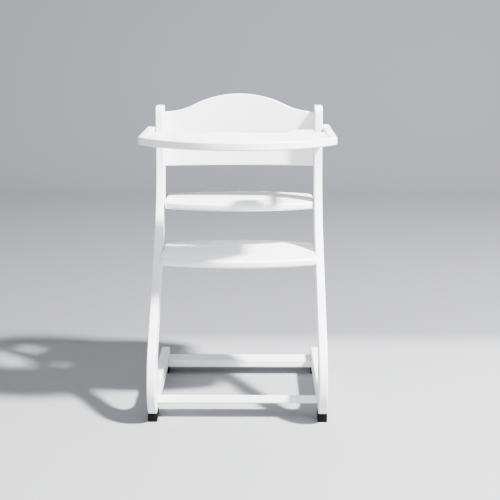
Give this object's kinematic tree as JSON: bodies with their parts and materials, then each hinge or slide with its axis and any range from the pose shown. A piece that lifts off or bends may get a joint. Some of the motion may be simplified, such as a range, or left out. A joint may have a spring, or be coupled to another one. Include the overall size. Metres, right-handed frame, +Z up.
{
  "type": "baby high chair",
  "caption": "Painted wooden baby high chair with bent side frames, curved backrest, seat, footrest and a tray that swings up and over the back.",
  "frame": {"origin": "on the floor, under the middle of the chair's box", "axes": "+X to the right as seen from the front, +Y to the back of the chair, +Z up"},
  "size_m": [0.494, 0.554, 0.8],
  "materials": {
    "painted_wood": "satin white paint",
    "black_rubber": "matt",
    "zinc_steel": "zinc plated"
  },
  "bodies": {
    "chair": {"left_side_frame": "painted_wood", "right_side_frame": "painted_wood", "front_crossbar": "painted_wood", "rear_crossbar": "painted_wood", "backrest": "painted_wood", "seat_plate": "painted_wood", "footrest_plate": "painted_wood", "left_tray_stop_peg": "painted_wood", "right_tray_stop_peg": "painted_wood", "front_left_foot": "black_rubber", "front_right_foot": "black_rubber", "rear_left_foot": "black_rubber", "rear_right_foot": "black_rubber", "foot_screws": "zinc_steel", "front_crossbar_bolts": "zinc_steel", "front_crossbar_barrel_nuts": "zinc_steel", "rear_crossbar_bolts": "zinc_steel", "rear_crossbar_barrel_nuts": "zinc_steel", "backrest_bolts": "zinc_steel", "backrest_barrel_nuts": "zinc_steel", "seat_bolts": "zinc_steel", "seat_barrel_nuts": "zinc_steel", "footrest_bolts": "zinc_steel", "footrest_barrel_nuts": "zinc_steel", "left_tray_pivot_bolt": "zinc_steel", "right_tray_pivot_bolt": "zinc_steel", "left_pivot_washer": "zinc_steel", "right_pivot_washer": "zinc_steel", "left_pivot_insert": "zinc_steel", "right_pivot_insert": "zinc_steel"},
    "tray": {"tray_board": "painted_wood"}
  },
  "joints": [
    {"name": "tray_swing", "type": "hinge", "parent": "chair", "child": "tray", "pos_m": [0, 0.153, 0.705], "axis": [-1, 0, 0], "range_deg": [0, 234]}
  ]
}
